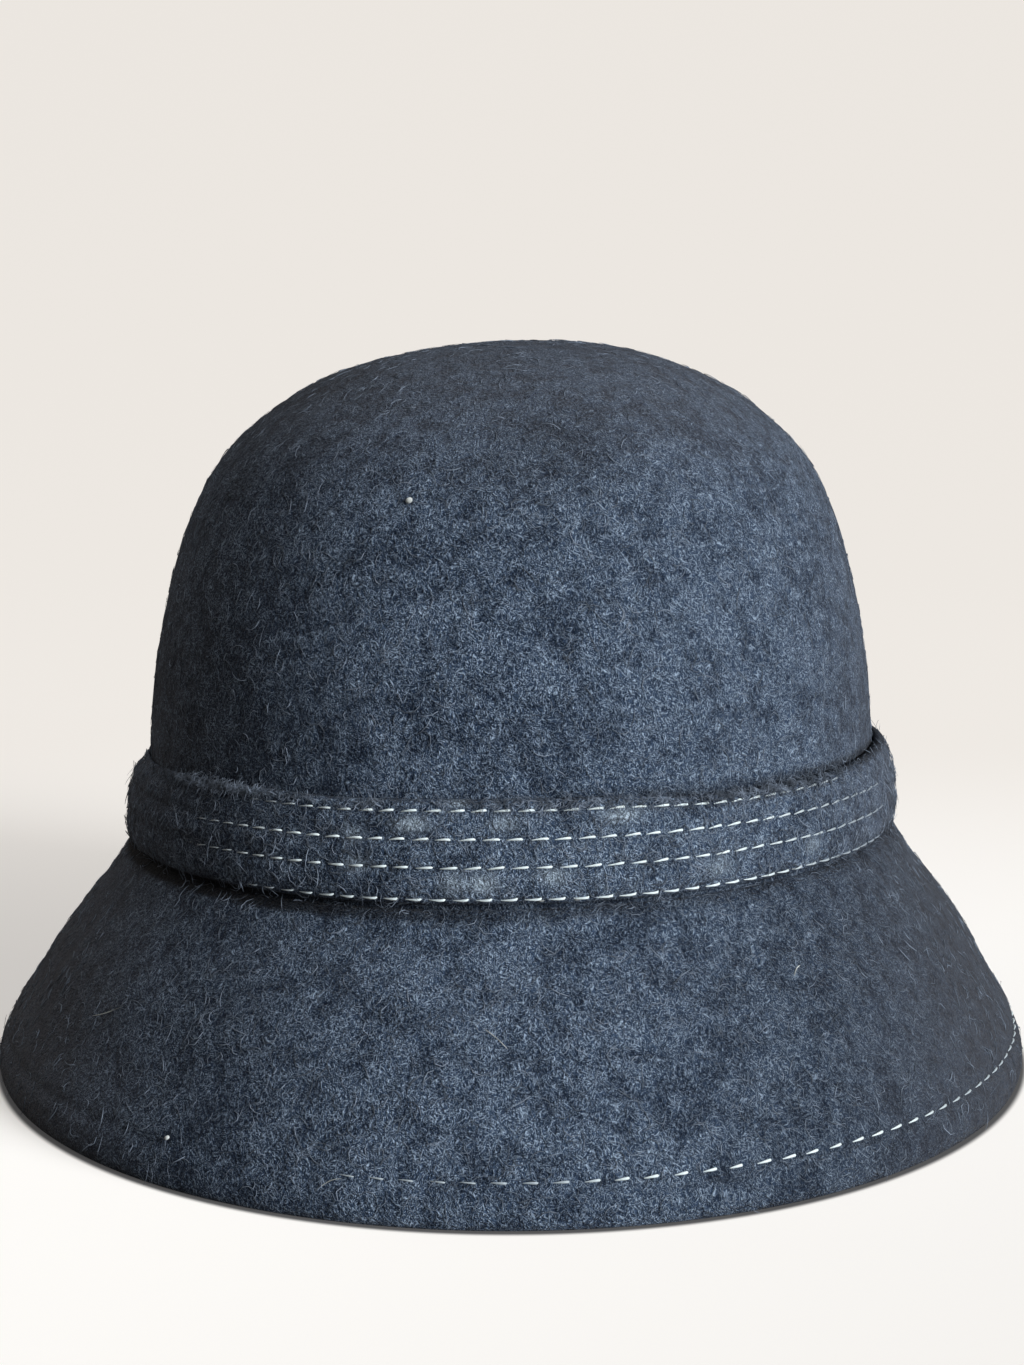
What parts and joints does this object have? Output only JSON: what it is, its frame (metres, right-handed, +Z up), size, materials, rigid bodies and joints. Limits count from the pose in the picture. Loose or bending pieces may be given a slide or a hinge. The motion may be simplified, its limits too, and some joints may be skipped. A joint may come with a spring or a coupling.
{
  "type": "felt cloche hat",
  "caption": "Blocked felt hat with a rounded dome crown, a stitched felt band over the seam and a downturned flared brim with a folded hem.",
  "frame": {"origin": "middle of the brim's edge on the surface that the hat stands on, under the centre of its outline", "axes": "+Z up through the crown, -Y toward the wearer's front, +X toward the wearer's left"},
  "size_m": [0.2432, 0.2632, 0.1665],
  "materials": {
    "crown_felt": "matt mottled blue-grey wool felt, slightly hairy",
    "brim_felt": "matt mottled blue-grey wool felt, slightly hairy",
    "band_felt": "matt mottled blue-grey wool felt with pale rubbed marks, stitched in pale thread"
  },
  "bodies": {
    "root": {"crown": "crown_felt", "brim": "brim_felt", "band": "band_felt"}
  },
  "joints": []
}
